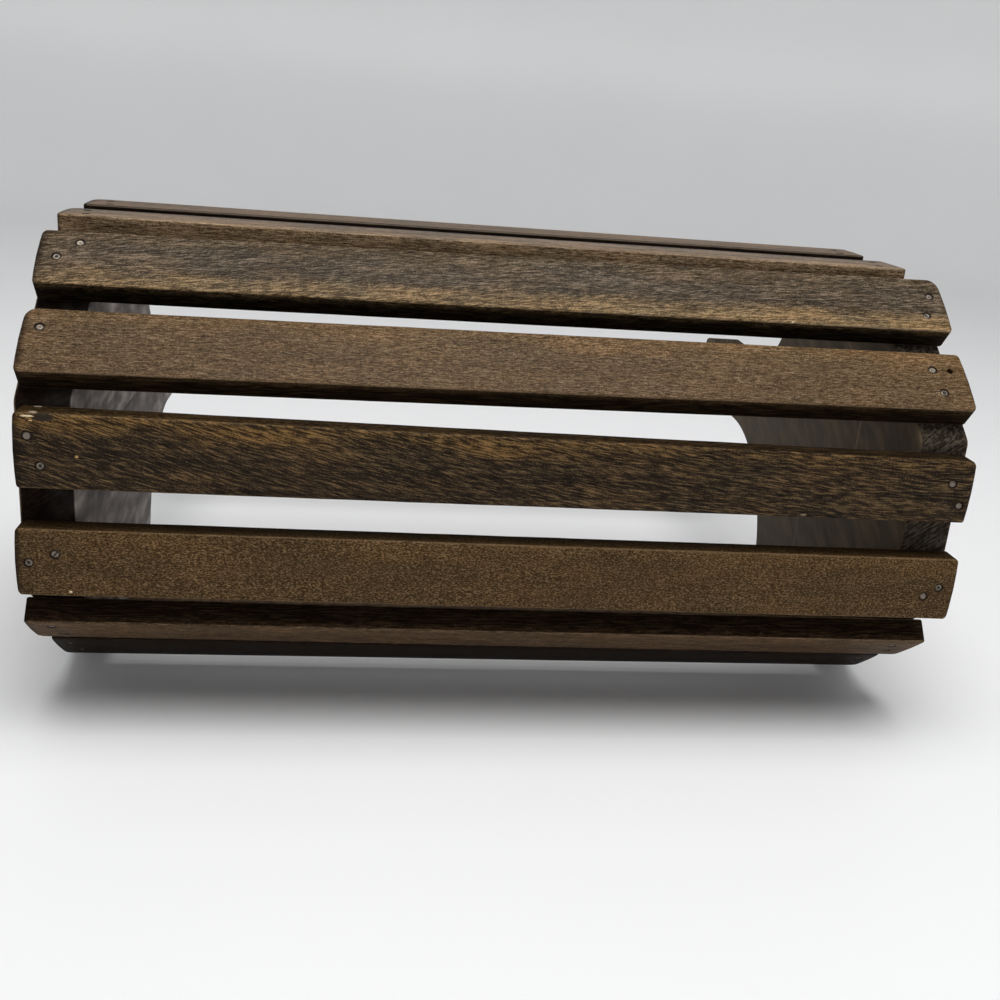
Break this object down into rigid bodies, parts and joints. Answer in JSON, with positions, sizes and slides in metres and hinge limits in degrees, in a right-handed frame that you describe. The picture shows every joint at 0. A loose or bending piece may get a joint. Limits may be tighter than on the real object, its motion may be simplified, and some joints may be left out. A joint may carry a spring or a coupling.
{
  "type": "wooden tool caddy",
  "caption": "Slatted wooden carrying caddy with shaped end boards, nailed slats and a dowel handle, lying on its side.",
  "frame": {"origin": "middle of the lowest face of the bounding box, on the surface the caddy lies on", "axes": "The caddy lies on one of its long sides, as in the picture. +X runs along the slats, +Y points out of the open top towards the handle, away from the slatted base, and +Z is up. Turned by 90 degrees about X, so that +Y points up, it stands on its base slats."},
  "size_m": [0.3634, 0.2962, 0.1849],
  "materials": {
    "slat_wood": "walnut stain under satin varnish, worn golden along the edges",
    "board_wood": "dark walnut stain, sawn edges left rough",
    "handle_wood": "walnut stain, smooth from handling",
    "nail_steel": "dull steel with dark stain round the heads"
  },
  "bodies": {
    "root": {"end_board_left": "board_wood", "end_board_right": "board_wood", "handle_dowel": "handle_wood", "handle_nail_left": "nail_steel", "handle_nail_right": "nail_steel", "nail_01_left_a": "nail_steel", "nail_01_left_b": "nail_steel", "nail_01_right_a": "nail_steel", "nail_01_right_b": "nail_steel", "nail_02_left_a": "nail_steel", "nail_02_left_b": "nail_steel", "nail_02_right_a": "nail_steel", "nail_02_right_b": "nail_steel", "nail_03_left_a": "nail_steel", "nail_03_left_b": "nail_steel", "nail_03_right_a": "nail_steel", "nail_03_right_b": "nail_steel", "nail_04_left_a": "nail_steel", "nail_04_right_a": "nail_steel", "nail_04_right_b": "nail_steel", "nail_05_left_a": "nail_steel", "nail_05_left_b": "nail_steel", "nail_05_right_a": "nail_steel", "nail_05_right_b": "nail_steel", "nail_06_left_a": "nail_steel", "nail_06_left_b": "nail_steel", "nail_06_right_a": "nail_steel", "nail_06_right_b": "nail_steel", "nail_07_left_a": "nail_steel", "nail_07_left_b": "nail_steel", "nail_07_right_a": "nail_steel", "nail_07_right_b": "nail_steel", "nail_08_left_a": "nail_steel", "nail_08_left_b": "nail_steel", "nail_08_right_a": "nail_steel", "nail_08_right_b": "nail_steel", "nail_09_left_a": "nail_steel", "nail_09_left_b": "nail_steel", "nail_09_right_a": "nail_steel", "nail_09_right_b": "nail_steel", "nail_10_left_a": "nail_steel", "nail_10_left_b": "nail_steel", "nail_10_right_a": "nail_steel", "nail_10_right_b": "nail_steel", "slat_01_side": "slat_wood", "slat_02_side": "slat_wood", "slat_03_slope": "slat_wood", "slat_04_slope": "slat_wood", "slat_05_base": "slat_wood", "slat_06_base": "slat_wood", "slat_07_slope": "slat_wood", "slat_08_slope": "slat_wood", "slat_09_side": "slat_wood", "slat_10_side": "slat_wood"}
  },
  "joints": []
}
